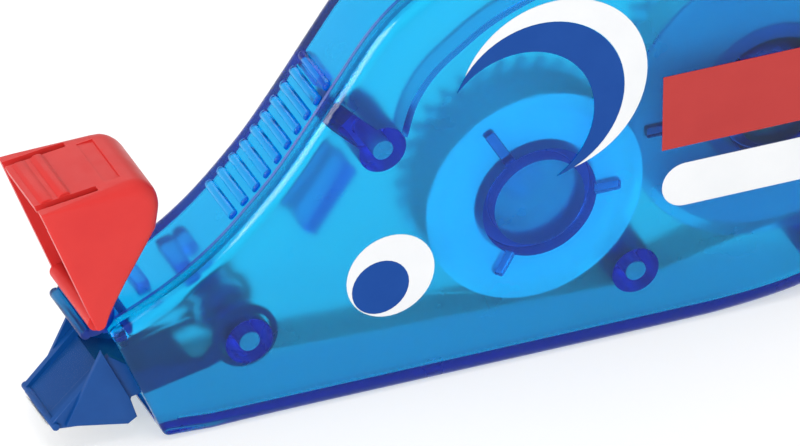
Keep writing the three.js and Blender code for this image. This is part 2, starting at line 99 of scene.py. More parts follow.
# ------------------------------------------------------------------ node materials
class Mat:
    def __init__(self, name):
        self.m = bpy.data.materials.new(name)
        self.m.use_nodes = True
        self.t = self.m.node_tree
        self.t.nodes.clear()
        self.out = self.t.nodes.new("ShaderNodeOutputMaterial")
        self.b = self.t.nodes.new("ShaderNodeBsdfPrincipled")
        self.t.links.new(self.b.outputs[0], self.out.inputs["Surface"])
        self.coord = self.t.nodes.new("ShaderNodeTexCoord")

    def set(self, **kw):
        for k, v in kw.items():
            self.b.inputs[k.replace("_", " ")].default_value = v
        return self

    def link(self, a, b):
        self.t.links.new(a, b)

    def noise(self, scale, detail=3.0, rough=0.5, stretch=(1, 1, 1), kind="noise"):
        mp = self.t.nodes.new("ShaderNodeMapping")
        mp.inputs["Scale"].default_value = stretch
        self.link(self.coord.outputs["Object"], mp.inputs["Vector"])
        if kind == "voronoi":
            n = self.t.nodes.new("ShaderNodeTexVoronoi")
            n.inputs["Scale"].default_value = scale
            self.link(mp.outputs[0], n.inputs["Vector"])
            return n.outputs["Distance"]
        n = self.t.nodes.new("ShaderNodeTexNoise")
        n.inputs["Scale"].default_value = scale
        n.inputs["Detail"].default_value = detail
        n.inputs["Roughness"].default_value = rough
        self.link(mp.outputs[0], n.inputs["Vector"])
        return n.outputs["Fac"]

    def ramp(self, fac, lo, hi, p0=0.3, p1=0.7):
        r = self.t.nodes.new("ShaderNodeMapRange")
        r.inputs["From Min"].default_value = p0
        r.inputs["From Max"].default_value = p1
        r.inputs["To Min"].default_value = lo
        r.inputs["To Max"].default_value = hi
        self.link(fac, r.inputs["Value"])
        return r.outputs["Result"]

    def colours(self, fac, a, b, p0=0.3, p1=0.7):
        r = self.t.nodes.new("ShaderNodeValToRGB")
        r.color_ramp.elements[0].position = p0
        r.color_ramp.elements[0].color = (*a, 1)
        r.color_ramp.elements[1].position = p1
        r.color_ramp.elements[1].color = (*b, 1)
        self.link(fac, r.inputs[0])
        return r.outputs[0]

    def bump(self, height, strength, distance, after=None):
        b = self.t.nodes.new("ShaderNodeBump")
        b.inputs["Strength"].default_value = strength
        b.inputs["Distance"].default_value = distance
        self.link(height, b.inputs["Height"])
        if after is not None:
            self.link(after, b.inputs["Normal"])
        self.link(b.outputs[0], self.b.inputs["Normal"])
        return b.outputs[0]

    def absorb(self, per_mm):
        """plain absorption, stated per millimetre for red, green and blue"""
        d = max(per_mm) * 1000.0 * 1.02
        v = self.t.nodes.new("ShaderNodeVolumeAbsorption")
        v.inputs["Color"].default_value = (*[1 - p * 1000.0 / d for p in per_mm], 1)
        v.inputs["Density"].default_value = d
        self.link(v.outputs[0], self.out.inputs["Volume"])
        return self


def clear_plastic(name, tint, per_mm, rough=(0.08, 0.2), frost=0.15, ior=1.49, grain=2600.0, inner=None):
    m = Mat(name)
    m.set(IOR=ior)
    m.b.inputs["Transmission Weight"].default_value = 1.0
    m.absorb(per_mm)
    big = m.noise(180.0, 3.0, 0.55)
    col = m.colours(big, tint, tuple(min(1.0, c * 1.04 + 0.01) for c in tint))
    if inner:
        # painted shade: faces marked with mat 2 take a dark blue base colour in place of the shade on the thick hub
        # rings, spokes, posts, cradle and lip; the same mark also darkens the seam band as a dark joint
        shade_seam_attr = m.t.nodes.new("ShaderNodeAttribute")
        shade_seam_attr.attribute_name = "painted_shade_and_dark_seam"
        shade_seam_mix = m.t.nodes.new("ShaderNodeMix")
        shade_seam_mix.data_type = "RGBA"
        m.link(shade_seam_attr.outputs["Fac"], shade_seam_mix.inputs[0])
        m.link(col, shade_seam_mix.inputs[6])
        shade_seam_mix.inputs[7].default_value = (0.14, 0.25, 0.46, 1)
        # painted light: faces marked with mat 3 (the post-hole walls) take a pale blue base colour and less
        # transmission, so the holes look lit from behind
        hole_light_attr = m.t.nodes.new("ShaderNodeAttribute")
        hole_light_attr.attribute_name = "painted_hole_light"
        hole_light_mix = m.t.nodes.new("ShaderNodeMix")
        hole_light_mix.data_type = "RGBA"
        m.link(hole_light_attr.outputs["Fac"], hole_light_mix.inputs[0])
        m.link(shade_seam_mix.outputs[2], hole_light_mix.inputs[6])
        hole_light_mix.inputs[7].default_value = (0.55, 0.75, 0.95, 1)
        col = hole_light_mix.outputs[2]
        m.link(m.ramp(hole_light_attr.outputs["Fac"], 1.0, 0.35, 0.0, 1.0), m.b.inputs["Transmission Weight"])
    m.link(col, m.b.inputs["Base Color"])
    fine = m.noise(grain, 2.0, 0.6)
    if inner:
        at = m.t.nodes.new("ShaderNodeAttribute")
        at.attribute_name = "inner"
        mix = m.t.nodes.new("ShaderNodeMix")
        m.link(at.outputs["Fac"], mix.inputs[0])
        m.link(m.ramp(big, rough[0], rough[1]), mix.inputs[2])
        m.link(m.ramp(big, inner[0], inner[1]), mix.inputs[3])
        m.link(mix.outputs[0], m.b.inputs["Roughness"])
    else:
        m.link(m.ramp(big, rough[0], rough[1]), m.b.inputs["Roughness"])
    m.bump(fine, frost, 0.00004)
    return m.m


def solid_plastic(name, a, b, rough=(0.35, 0.5), grain=3000.0, bump=0.12, spec=0.5, sss=0.0):
    m = Mat(name)
    big = m.noise(220.0, 4.0, 0.55)
    m.link(m.colours(big, a, b), m.b.inputs["Base Color"])
    m.link(m.ramp(m.noise(900.0, 3.0), rough[0], rough[1]), m.b.inputs["Roughness"])
    m.b.inputs["Specular IOR Level"].default_value = spec
    if sss:
        m.b.inputs["Subsurface Weight"].default_value = sss
        m.b.inputs["Subsurface Radius"].default_value = (1.0, 0.35, 0.2)
        m.b.inputs["Subsurface Scale"].default_value = 0.001
    m.bump(m.noise(grain, 2.0, 0.6), bump, 0.00003)
    return m.m


MATS = {}
MATS["casing_near"] = clear_plastic("casing_near", (0.86, 0.965, 1.0), (2.5, 0.27, 0.03), (0.07, 0.13), 0.15, 1.33, 2600.0, (0.26, 0.34))
MATS["casing_far"] = clear_plastic("casing_far", (0.86, 0.965, 1.0), (2.5, 0.27, 0.03), (0.12, 0.2), 0.2, 1.33, 2600.0, (0.26, 0.34))
MATS["tip_blue"] = solid_plastic("tip_blue", (0.002, 0.062, 0.27), (0.004, 0.082, 0.33), (0.34, 0.46), 2600.0, 0.1, 0.15)
MATS["tip_blue"].node_tree.nodes["Principled BSDF"].inputs["Transmission Weight"].default_value = 0.25
MATS["cap_red"] = solid_plastic("cap_red", (0.55, 0.027, 0.026), (0.59, 0.034, 0.030), (0.3, 0.42), 2600.0, 0.1, 0.2, 0.12)
MATS["gear_blue"] = clear_plastic("gear_blue", (0.72, 0.92, 1.0), (0.4, 0.08, 0.01), (0.3, 0.4), 0.3, 1.3)
MATS["clutch_white"] = solid_plastic("clutch_white", (0.72, 0.72, 0.69), (0.8, 0.8, 0.77))
MATS["spool_blue"] = solid_plastic("spool_blue", (0.02, 0.14, 0.52), (0.03, 0.17, 0.58))
MATS["flange_blue"] = clear_plastic("flange_blue", (0.62, 0.93, 1.0), (3.0, 0.35, 0.02), (0.22, 0.34), 0.2, 1.3)
MATS["takeup_pale"] = clear_plastic("takeup_pale", (0.84, 0.96, 1.0), (0.25, 0.04, 0.01), (0.4, 0.5), 0.3, 1.25)
MATS["takeup_core"] = clear_plastic("takeup_core", (0.50, 0.80, 1.0), (0.3, 0.08, 0.01), (0.4, 0.5), 0.3, 1.25)
# painted glow: a weak blue emission on the take-up flange and core lifts them, in place of light that the casing and
# the parts behind keep from reaching them
for slot, weight, painted_glow in (("takeup_pale", 0.72, 0.24), ("takeup_core", 0.6, 0.05)):
    bsdf = MATS[slot].node_tree.nodes["Principled BSDF"]
    bsdf.inputs["Transmission Weight"].default_value = weight
    bsdf.inputs["Emission Color"].default_value = (0.04, 0.55, 1.0, 1)
    bsdf.inputs["Emission Strength"].default_value = painted_glow
# painted glow: a faint blue emission brightens the supply flange, though it is no lamp
bsdf = MATS["flange_blue"].node_tree.nodes["Principled BSDF"]
bsdf.inputs["Emission Color"].default_value = (0.0, 0.45, 1.0, 1)
bsdf.inputs["Emission Strength"].default_value = 0.05
MATS["tape_white"] = solid_plastic("tape_white", (0.86, 0.87, 0.86), (0.9, 0.905, 0.895), (0.55, 0.7), 5200.0, 0.2)
MATS["tape_white"].node_tree.nodes["Principled BSDF"].inputs["Transmission Weight"].default_value = 0.55
MATS["film_clear"] = clear_plastic("film_clear", (0.985, 0.995, 1.0), (0.05, 0.03, 0.01), (0.02, 0.06), 0.1, 1.06)
MATS["label_red"] = solid_plastic("label_red", (0.40, 0.028, 0.026), (0.43, 0.033, 0.030), (0.3, 0.4), 3600.0, 0.08, 0.25)
MATS["print_white"] = solid_plastic("print_white", (0.70, 0.715, 0.73), (0.735, 0.745, 0.755), (0.28, 0.4), 3600.0, 0.08, 0.2)
MATS["print_blue"] = solid_plastic("print_blue", (0.004, 0.050, 0.255), (0.007, 0.060, 0.28), (0.34, 0.46), 3600.0, 0.08, 0.12)

def wound(name, base, centre, a, b, trans):
    """edge of a wound roll: fine rings round the spool axis"""
    m = Mat(name)
    mp = m.t.nodes.new("ShaderNodeMapping")
    mp.vector_type = "POINT"
    mp.inputs["Location"].default_value = (-centre[0], 0, -centre[2])
    m.link(m.coord.outputs["Object"], mp.inputs["Vector"])
    wv = m.t.nodes.new("ShaderNodeTexWave")
    wv.wave_type = "RINGS"
    wv.rings_direction = "Y"
    wv.inputs["Scale"].default_value = 900.0
    wv.inputs["Distortion"].default_value = 0.6
    wv.inputs["Detail"].default_value = 2.0
    wv.inputs["Detail Scale"].default_value = 0.5
    m.link(mp.outputs[0], wv.inputs["Vector"])
    m.link(m.colours(wv.outputs["Fac"], a, b, 0.2, 0.8), m.b.inputs["Base Color"])
    m.set(Roughness=0.5)
    m.b.inputs["Specular IOR Level"].default_value = 0.3
    m.b.inputs["Transmission Weight"].default_value = trans
    m.bump(wv.outputs["Fac"], 0.3, 0.00004)
    return m.m


MATS["tape_wound"] = wound("tape_wound", None, world(23.3, 5.1, 4.0), (0.80, 0.81, 0.80), (0.9, 0.905, 0.895), 0.0)
MATS["film_wound"] = wound("film_wound", None, world(0.4, 5.1, -0.6), (0.80, 0.92, 0.98), (0.90, 0.97, 1.0), 0.8)

SLOT = {s["node"]: s["material_slot"] for s in frame["record"]["subparts"]}
for name, ob in nodes.items():
    ob.data.materials.clear()
    ob.data.materials.append(MATS[SLOT[name]])
    for p in ob.data.polygons:
        p.use_smooth = True
    ob.data.set_sharp_from_angle(angle=math.radians(28))

# ------------------------------------------------------------------ outline of the casing (side view mm)
WALL, FACE, SEAM_D, SEAM_GAP = 1.2, 1.0, 2.0, 0.06
FRONT_HUB, REAR_HUB = (0.4, -0.6), (23.3, 4.0)
RING_R, RING_IN, RING_END, AXLE_R = 5.4, 4.26, 3.5, 2.0
POSTS = [(-26.9, -8.3), (-14.5, 8.4), (9.65, -9.95), (27.3, -11.75), (4.0, 21.5), (25.6, 21.3)]
POST_RADII = [2.2, 2.2, 2.2, 1.75, 2.2, 2.2]
POST_HOLE, PIN_R, POST_END = 0.95, 0.88, 7.7
HINGE = (-41.15, -2.8)
BOTTOM = [(-34.95, -15.95), (-30.5, -16.35), (17.0, -16.35)]
TAIL = [(17.0, -16.35), (21, -16.15), (25, -15.65), (29, -14.6), (33, -12.7), (36.6, -9.9), (39.6, -6.2),
        (41.7, -1.6), (42.6, 3.6), (42.2, 8.8), (40.5, 13.8), (37.4, 18.2), (33, 21.9), (27.6, 24.7), (21.5, 26.6),
        (15, 27.7), (8.3, 28.1), (2, 27.9), (-3.6, 26.9), (-8.4, 25.1), (-12.6, 22.5), (-15.4, 19.8), (-18.0, 16.2),
        (-20.6, 12.4), (-23.7, 8.1), (-26.3, 5.1), (-29.2, 2.2), (-32.2, -0.15), (-35.2, -1.95), (-38.0, -3.3)]
FRONT_TOP = (-40.0, -4.1)
MOUTH = [(-33.6, -14.75), (-37.2, -14.75), (-41.9, -5.35), (-38.6, -5.35), (-33.0, -3.2)]


def V2(p):
    return np.array(p, float)


def resample(pts, step):
    pts = np.array(pts, float)
    seg = np.linalg.norm(np.diff(pts, axis=0), axis=1)
    s = np.concatenate([[0], np.cumsum(seg)])
    n = max(2, int(round(s[-1] / step)))
    t = np.linspace(0, s[-1], n + 1)
    return np.stack([np.interp(t, s, pts[:, 0]), np.interp(t, s, pts[:, 1])], 1)


def spline(pts, step):
    """uniform Catmull-Rom through the points, resampled at an even step"""
    P = [V2(p) for p in pts]
    out = []
    for i in range(len(P) - 1):
        p0, p1, p2, p3 = P[max(0, i - 1)], P[i], P[i + 1], P[min(len(P) - 1, i + 2)]
        v0, v1 = (p2 - p0) * 0.5, (p3 - p1) * 0.5
        for t in np.linspace(0, 1, 24, endpoint=False):
            out.append((2 * p1 - 2 * p2 + v0 + v1) * t ** 3 + (-3 * p1 + 3 * p2 - 2 * v0 - v1) * t ** 2 + v0 * t + p1)
    out.append(P[-1])
    return resample(out, step)


def corner(a, p, b, r, n=7):
    """arc of radius r that rounds the corner a-p-b"""
    a, p, b = V2(a), V2(p), V2(b)
    u, v = (a - p) / np.linalg.norm(a - p), (b - p) / np.linalg.norm(b - p)
    half = math.acos(np.clip(np.dot(u, v), -1, 1)) / 2
    t = r / math.tan(half)
    m = (u + v) / np.linalg.norm(u + v)
    c = p + m * (r / math.sin(half))
    s0, s1 = p + u * t - c, p + v * t - c
    a0, a1 = math.atan2(s0[1], s0[0]), math.atan2(s1[1], s1[0])
    d = (a1 - a0 + math.pi) % (2 * math.pi) - math.pi
    return [c + r * np.array([math.cos(a0 + d * k / n), math.sin(a0 + d * k / n)]) for k in range(n + 1)]


def inset(pts, d):
    """closed anticlockwise outline moved inwards by d (a number or one per point), corners mitred"""
    P = np.array(pts, float)
    d = np.broadcast_to(np.asarray(d, float), (len(P),))
    a, b = np.roll(P, 1, 0), np.roll(P, -1, 0)
    u, v = P - a, b - P
    u /= np.linalg.norm(u, axis=1)[:, None]
    v /= np.linalg.norm(v, axis=1)[:, None]
    n1, n2 = np.stack([-u[:, 1], u[:, 0]], 1), np.stack([-v[:, 1], v[:, 0]], 1)
    m = n1 + n2
    m /= np.linalg.norm(m, axis=1)[:, None]
    k = d / np.maximum(0.35, (m * n1).sum(1))
    return P + m * k[:, None]


tail = spline(TAIL, 0.42)
front_arc = corner(tail[-1], FRONT_TOP, BOTTOM[0], 0.55)
low_arc = corner(FRONT_TOP, BOTTOM[0], BOTTOM[1], 0.7)
OUT = list(resample([low_arc[-1], BOTTOM[1]], 0.6)[:-1]) + list(resample([BOTTOM[1], BOTTOM[2]], 0.6)[:-1]) + list(tail)
OUT += list(resample([tail[-1], front_arc[0]], 0.42)[1:-1]) + list(front_arc) + list(resample([front_arc[-1], low_arc[0]], 0.5)[1:-1]) + list(low_arc[:-1])
OUT = np.array(OUT)
SHARP = np.array([BOTTOM[0], BOTTOM[1]] + [(x, -16.35) for x in np.linspace(-27, 14, 12)] + list(tail) + [FRONT_TOP])


def smooth_ring(v, n, cap=None):
    for _ in range(n):
        v = (np.roll(v, 1) + 2 * v + np.roll(v, -1)) / 4
        if cap is not None:
            v = np.minimum(v, cap)
    return v


def widths(pts, top, bottom, front, tail_w):
    w = np.full(len(pts), tail_w, float)
    cap = np.full(len(pts), 9.0)
    for i, (x, z) in enumerate(pts):
        if z < -15.6 and x < 18:
            w[i] = bottom
        elif x < 12 and z > -2.6 and x > -36.5:
            w[i] = top
        elif x < -34 and (z < -3.0 or x < -38):
            w[i] = front
        if x < -34.2 and z < -3.6:
            cap[i] = front
    return smooth_ring(w, 160, cap)


# ------------------------------------------------------------------ mesh helpers, in mm until finished
def to_mesh(name, verts, faces, marks):
    me = bpy.data.meshes.new(name)
    me.from_pydata([(x + SHIFT[0], d - THICK / 2 + SHIFT[1], z + SHIFT[2]) for x, d, z in verts], [], faces)
    for p, m in zip(me.polygons, marks):
        p.material_index = m
    bm = bmesh.new()
    bm.from_mesh(me)
    bmesh.ops.remove_doubles(bm, verts=bm.verts, dist=1e-5)
    bmesh.ops.recalc_face_normals(bm, faces=bm.faces)
    bm.to_mesh(me)
    bm.free()
    return me


def loft(rings, mat=0, closed=False, first=None):
    """rings of (x, d, z) with one point count; ends capped unless the rings close on themselves. first marks the first band and cap"""
    rings = [np.array(r, float) for r in rings]
    n = len(rings[0])
    verts = np.concatenate(rings).tolist()
    faces = []
    m = len(rings)
    for k in range(m if closed else m - 1):
        a, b = k * n, ((k + 1) % m) * n
        for i in range(n):
            j = (i + 1) % n
            faces.append((a + i, a + j, b + j, b + i))
    if not closed:
        faces.append(tuple(range(n)))
        faces.append(tuple((m - 1) * n + i for i in reversed(range(n))))
    marks = [mat] * len(faces)
    if first is not None:
        for i in range(n):
            marks[i] = first
        marks[-2] = first
    return to_mesh("part", verts, faces, marks)


def at(pts, d):
    P = np.array(pts, float)
    d = np.broadcast_to(np.asarray(d, float), (len(P),))
    return np.stack([P[:, 0], d, P[:, 1]], 1)


def ccw(pts):
    P = np.array(pts, float)
    q = np.roll(P, -1, 0)
    return P if (P[:, 0] * q[:, 1] - q[:, 0] * P[:, 1]).sum() > 0 else P[::-1]


def prism(pts, d0, d1, e0=0.0, e1=0.0, mat=1, steps=3):
    """outline between two depths, with its edges rounded by e0 at the near end and e1 at the far end"""
    P = ccw(pts)
    rings = []
    if e0 > 0:
        for k in range(steps + 1):
            a = math.pi / 2 * (1 - k / steps)
            rings.append(at(inset(P, e0 * (1 - math.cos(a))), d0 + e0 * (1 - math.sin(a))))
    else:
        rings.append(at(P, d0))
    if e1 > 0:
        for k in range(steps + 1):
            a = math.pi / 2 * (k / steps)
            rings.append(at(inset(P, e1 * (1 - math.cos(a))), d1 - e1 * (1 - math.sin(a))))
    else:
        rings.append(at(P, d1))
    return loft(rings, mat)


def circle(c, r, n=48):
    a = np.linspace(0, 2 * math.pi, n, endpoint=False)
    return np.stack([c[0] + r * np.cos(a), c[1] + r * np.sin(a)], 1)


def disc(c, r, d0, d1, e0=0.0, e1=0.0, n=48, mat=1):
    return prism(circle(c, r, n), d0, d1, e0, e1, mat)


def lathe(c, profile, n=72, mat=1):
    """closed (radius, depth) profile turned round an axis at c"""
    rings = [at(circle(c, r, n), d) for r, d in profile]
    return loft(rings, mat, closed=True)


def round_profile(pts, r=0.12, n=3):
    P = [V2(p) for p in pts]
    out = []
    for i, p in enumerate(P):
        a, b = P[i - 1], P[(i + 1) % len(P)]
        la, lb = np.linalg.norm(a - p), np.linalg.norm(b - p)
        if abs(np.dot(a - p, b - p)) > 0.999 * la * lb:
            out.append(p)
            continue
        rr = min(r, la * 0.4, lb * 0.4)
        out += corner(a, p, b, rr, n)
    return out


def tube(c, r, rin, d0, d1, e=0.12, n=72, mat=1):
    return lathe(c, round_profile([(rin, d0), (r, d0), (r, d1), (rin, d1)], e), n, mat)


def bar(p, q, w, d0, d1, e0=0.0, e1=0.0, mat=1):
    p, q = V2(p), V2(q)
    t = (q - p) / np.linalg.norm(q - p)
    n = np.array([-t[1], t[0]]) * w / 2
    pts = []
    P = [p - n, q - n, q + n, p + n]
    for i in range(4):
        pts += corner(P[i - 1], P[i], P[(i + 1) % 4], min(0.2, w * 0.3), 3)
    return prism(pts, d0, d1, e0, e1, mat)


def band(pts, t):
    P = np.array(pts, float)
    g = np.gradient(P, axis=0)
    g /= np.linalg.norm(g, axis=1)[:, None]
    n = np.stack([-g[:, 1], g[:, 0]], 1) * t / 2
    return np.concatenate([P - n, (P + n)[::-1]])


def polar(c, r, deg):
    return (c[0] + r * math.cos(math.radians(deg)), c[1] + r * math.sin(math.radians(deg)))


def boolean(base, steps, name, mats, body, sharp=30.0):
    """base mesh with (operation, mesh) steps applied; the result is a finished piece in metres. Faces built with mat 1,
    2 and 3 get the inner attribute; mat 2 faces also get the attribute for painted shade on the rings, spokes, posts,
    cradle and lip and for the dark seam, and mat 3 faces the attribute for painted light in the post holes
    """
    ob = bpy.data.objects.new(name, base)
    scene.collection.objects.link(ob)
    mats = [mats[0]] * 4
    for m in mats:
        base.materials.append(m)
    tools = []
    for i, (op, me) in enumerate(steps):
        for m in mats:
            me.materials.append(m)
        t = bpy.data.objects.new(f"tool{i}", me)
        scene.collection.objects.link(t)
        tools.append(t)
        mod = ob.modifiers.new(f"b{i}", "BOOLEAN")
        mod.operation = op
        mod.object = t
        mod.solver = "MANIFOLD"
    dg = bpy.context.evaluated_depsgraph_get()
    dg.update()
    res = bpy.data.meshes.new_from_object(ob.evaluated_get(dg), preserve_all_data_layers=True, depsgraph=dg)
    ob.modifiers.clear()
    ob.data = res
    for t in tools:
        bpy.data.objects.remove(t)
    index = np.array([p.material_index for p in res.polygons])
    # mat 2 faces carry the painted shade attribute (also used for the dark seam), mat 3 faces the painted light
    # attribute of the post holes
    for mark, chosen in (("inner", index > 0), ("painted_shade_and_dark_seam", index == 2), ("painted_hole_light", index == 3)):
        res.attributes.new(mark, "FLOAT", "FACE").data.foreach_set("value", chosen.astype(np.float32))
    for p in res.polygons:
        p.material_index = 0
    return finish_piece(ob, name, mats[:1], body, sharp)


def finish_piece(ob, name, mats, body, sharp=30.0):
    me = ob.data
    me.name = name
    me.transform(Matrix.Scale(0.001, 4))
    while len(me.materials) > len(mats):
        me.materials.pop()
    if not me.materials:
        for m in mats:
            me.materials.append(m)
    for p in me.polygons:
        p.use_smooth = True
    me.set_sharp_from_angle(angle=math.radians(sharp))
    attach(ob, body)
    return ob


def piece(me, name, mat, body, node=None, sharp=30.0):
    ob = bpy.data.objects.new(name, me)
    scene.collection.objects.link(ob)
    for p in me.polygons:
        p.material_index = 0
    finish_piece(ob, name, [mat], body, sharp)
    if node:
        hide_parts(node)
    return ob


U, DIFF = "UNION", "DIFFERENCE"

# ------------------------------------------------------------------ near shell
w_near = widths(OUT, 2.3, 1.25, 0.5, 1.7)
h_near = np.minimum(widths(OUT, 1.65, 1.0, 0.5, 1.4), 1.8)
seam = SEAM_D - SEAM_GAP / 2
rings = [at(inset(OUT, 0.13), seam), at(OUT, seam - 0.13)]
STEPS = 9
for k in range(STEPS + 1):
    a = math.pi / 2 * k / STEPS
    rings.append(at(inset(OUT, w_near * (1 - math.cos(a))), h_near * (1 - math.sin(a))))
near_base = loft(rings, 0, first=2)
inner = inset(SHARP, WALL)
cav_near = []
for k in range(5):
    a = math.pi / 2 * (1 - k / 4)
    cav_near.append(at(inset(SHARP, WALL + 0.6 * (1 - math.cos(a))), FACE + 0.6 * (1 - math.sin(a))))
cav_near.append(at(inner, 3.0))
near_steps = [(DIFF, loft(cav_near, 1)), (DIFF, prism(MOUTH, FACE, 4.0))]
INNER_WALL = [(-12.5, 9.2), (-11.6, 12.3), (-9.9, 14.9), (-7.4, 17.0), (-4.0, 19.2), (0.5, 20.9), (5.5, 21.9), (11.5, 22.2), (17.5, 22.0)]
# mat 2 on the rings, spokes, posts and post bars below marks them for the painted shade tint
near_steps += [(U, tube(FRONT_HUB, RING_R, RING_IN, FACE - 0.25, RING_END, 0.16, 96, 2)),
               (U, tube(REAR_HUB, RING_R, RING_IN, FACE - 0.25, RING_END, 0.16, 96, 2))]
for c, angles, length in ((FRONT_HUB, (0, 240), 7.7), (FRONT_HUB, (121,), 9.4), (REAR_HUB, (60, 300), 7.7), (REAR_HUB, (180,), 12.8)):
    for a in angles:
        near_steps.append((U, bar(polar(c, RING_R - 0.45, a), polar(c, length, a), 0.98, FACE - 0.25, 1.8, 0, 0.15, 2)))
for p, r in zip(POSTS, POST_RADII):
    prof = [(POST_HOLE, FACE - 0.25), (r + 0.02, FACE - 0.25), (r, FACE + 0.3), (r - 0.02, POST_END - 0.12), (r - 0.12, POST_END),
            (POST_HOLE + 0.1, POST_END), (POST_HOLE, POST_END - 0.1)]
    near_steps.append((U, lathe(p, prof, 48, 2)))
near_steps += [(U, bar(POSTS[1], (-19.0, 12.9), 2.3, FACE - 0.2, 1.9, 0, 0, 2)),
               (U, bar(POSTS[1], (-17.7, 11.6), 2.0, FACE - 0.2, 7.0, 0, 0.2, 2)),
               (U, prism(band(spline(INNER_WALL, 0.5), 0.7), FACE - 0.2, 3.2, 0, 0.15)),
               (DIFF, disc(HINGE, 2.3, FACE, 3.5))]
# mat 3 on these post-hole cutters marks the hole walls for the painted light tint
near_steps += [(DIFF, disc(p, POST_HOLE - 0.02, FACE - 0.15, POST_END + 0.3, n=40, mat=3)) for p in POSTS]
near = boolean(near_base, near_steps, "casing_near_half", [MATS["casing_near"]], "casing", 32.0)
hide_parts("near_shell")

# ------------------------------------------------------------------ far shell
w_far = widths(OUT, 1.3, 1.1, 0.5, 1.3)
rings = [at(inset(OUT, 0.13), SEAM_D + SEAM_GAP / 2), at(OUT, SEAM_D + SEAM_GAP / 2 + 0.13)]
for k in range(7):
    a = math.pi / 2 * k / 6
    rings.append(at(inset(OUT, w_far * (1 - math.cos(a))), THICK - w_far * (1 - math.sin(a))))
far_base = loft(rings, 0, first=2)
cav = [at(inner, 1.0)]
for k in range(5):
    a = math.pi / 2 * k / 4
    cav.append(at(inset(SHARP, WALL + 0.6 * (1 - math.cos(a))), THICK - FACE - 0.6 * (1 - math.sin(a))))
far_steps = [(DIFF, loft(cav, 1)), (DIFF, prism(MOUTH, 1.0, THICK - FACE))]
grip = spline(TAIL, 0.05)
GRIP_FROM, GRIP_TO, GRIP_COUNT = (-27.7, 3.75), (-18.95, 14.85), 10
i0 = int(np.argmin(np.linalg.norm(grip - V2(GRIP_TO), axis=1)))
i1 = int(np.argmin(np.linalg.norm(grip - V2(GRIP_FROM), axis=1)))
for k in range(GRIP_COUNT):
    c = grip[int(round(i0 + (i1 - i0) * k / (GRIP_COUNT - 1)))]
    far_steps.append((U, prism(circle(c, 0.48, 20), 2.35, 8.2, 0.3, 0.3, 0, 4)))
cr = [polar(HINGE, 1.95, a) for a in np.linspace(250, 416, 25)] + [polar(HINGE, 1.15, a) for a in np.linspace(416, 250, 25)]
# mat 2 on the hinge cradle, its lip disc and the front lip marks them for the painted shade tint
far_steps += [(U, prism(cr, 1.35, 8.85, 0.12, 0.12, 2)), (U, disc((-41.85, -4.45), 0.5, 1.35, 8.85, 0.18, 0.18, 24, 2)),
              (U, prism([(-40.3, -4.2), (-39.9, -5.3), (-37.6, -5.35), (-37.2, -4.3), (-38.3, -3.9), (-39.5, -4.0)], SEAM_D + 0.3, 8.85, 0, 0, 2)),
              (U, disc(FRONT_HUB, AXLE_R, 4.9, THICK - FACE + 0.25, 0.1, 0)), (U, disc(REAR_HUB, AXLE_R, 1.6, THICK - FACE + 0.25, 0.25, 0))]
for p in POSTS:
    far_steps.append((U, disc(p, PIN_R, 4.6, THICK - FACE + 0.25, 0.2, 0, 32)))
    far_steps.append((U, tube(p, 1.6, 0.5, POST_END + 0.35, THICK - FACE + 0.25, 0.1, 40)))
far_steps += [(U, bar(p, q, w, d0, THICK - FACE + 0.2, 0.25, 0)) for p, q, w, d0 in (
    ((-18.7, 14.0), (-17.2, 13.0), 1.4, 5.0), ((-19.6, -1.4), (-15.6, 4.3), 1.5, 5.0),
    ((-31.3, -1.9), (-30.9, -3.3), 1.5, 4.6), ((-34.9, -3.3), (-34.6, -4.6), 1.3, 5.0))]
far_steps.append((U, disc((-29.7, -1.9), 0.75, 6.2, THICK - FACE + 0.2, 0.25, 0, 32)))
far = boolean(far_base, far_steps, "casing_far_half", [MATS["casing_far"]], "casing", 32.0)
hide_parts("far_shell")

# ------------------------------------------------------------------ tip cap
CAP_A, CAP_TOP, CAP_WALL, BARREL_R = (-46.55, 9.75), (-38.3, 10.8), 0.85, 0.85
cap_top = list(resample([CAP_A, CAP_TOP], 0.35)[:-1])
cap_rear = list(spline([CAP_TOP, (-37.3, 10.75), (-36.4, 10.25), (-35.7, 9.4), (-35.35, 8.3), (-35.35, 7.3), (-35.6, 5.6)], 0.25)[:-1])
cap_back = list(resample([(-35.6, 5.6), (-38.55, 0.75), (-40.35, -2.55)], 0.4)[:-1])
cap_apex = list(spline([(-40.35, -2.55), (-40.55, -3.15), (-40.95, -3.4), (-41.35, -3.35), (-41.55, -2.9)], 0.18)[:-1])
cap_open = list(resample([(-41.55, -2.9), CAP_A], 0.4)[:-1])
CAPO = np.array(cap_top + cap_rear + cap_back + cap_apex + cap_open)
capw = np.concatenate([np.linspace(0.14, 1.15, len(cap_top)), np.full(len(cap_rear), 1.25), np.linspace(1.15, 0.55, len(cap_back)),
                       np.full(len(cap_apex), 0.25), np.full(len(cap_open), 0.1)])
limit = np.concatenate([np.linspace(0.14, 1.3, len(cap_top)), np.full(len(cap_rear) + len(cap_back), 1.3), np.full(len(cap_apex), 0.25), np.full(len(cap_open), 0.1)])
if (CAPO[:, 0] * np.roll(CAPO, -1, 0)[:, 1] - np.roll(CAPO, -1, 0)[:, 0] * CAPO[:, 1]).sum() < 0:
    CAPO, capw, limit = CAPO[::-1], capw[::-1], limit[::-1]
capw = smooth_ring(capw, 8, limit)
capf = np.where(capw > 0.3, 0.3 + (capw - 0.3) * 1.55, capw)
rings = []
for k in range(9):
    a = math.pi / 2 * (1 - k / 8)
    rings.append(at(inset(CAPO, capw * (1 - math.cos(a))), capw * (1 - math.sin(a))))
for k in range(9):
    a = math.pi / 2 * k / 8
    rings.append(at(inset(CAPO, capf * (1 - math.cos(a))), THICK - capf * 1.15 * (1 - math.sin(a))))
